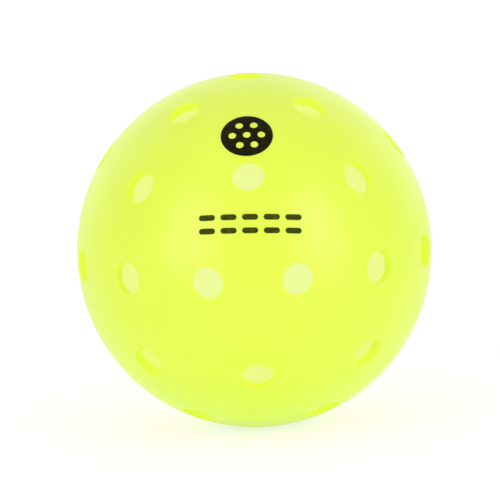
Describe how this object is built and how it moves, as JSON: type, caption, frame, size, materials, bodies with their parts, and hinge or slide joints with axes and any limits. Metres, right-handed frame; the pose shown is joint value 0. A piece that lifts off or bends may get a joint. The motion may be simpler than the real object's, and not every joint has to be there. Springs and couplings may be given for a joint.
{
  "type": "pickleball ball",
  "caption": "Hollow yellow-green plastic court ball with round holes all over, moulded as two half shells welded at a stepped rim, with plain dark prints on its front.",
  "frame": {"origin": "centre of the ball", "axes": "+Z out through the middle of the hole at the top, -Y out of the printed front, +X to the right seen from the front"},
  "size_m": [0.074, 0.074, 0.0736],
  "materials": {
    "shell": "satin",
    "weld": "satin",
    "ink": "satin"
  },
  "bodies": {
    "root": {"front_half_shell": "shell", "rear_half_shell": "shell", "weld_ring": "weld", "printed_disc": "ink", "printed_dashes": "ink"}
  },
  "joints": []
}
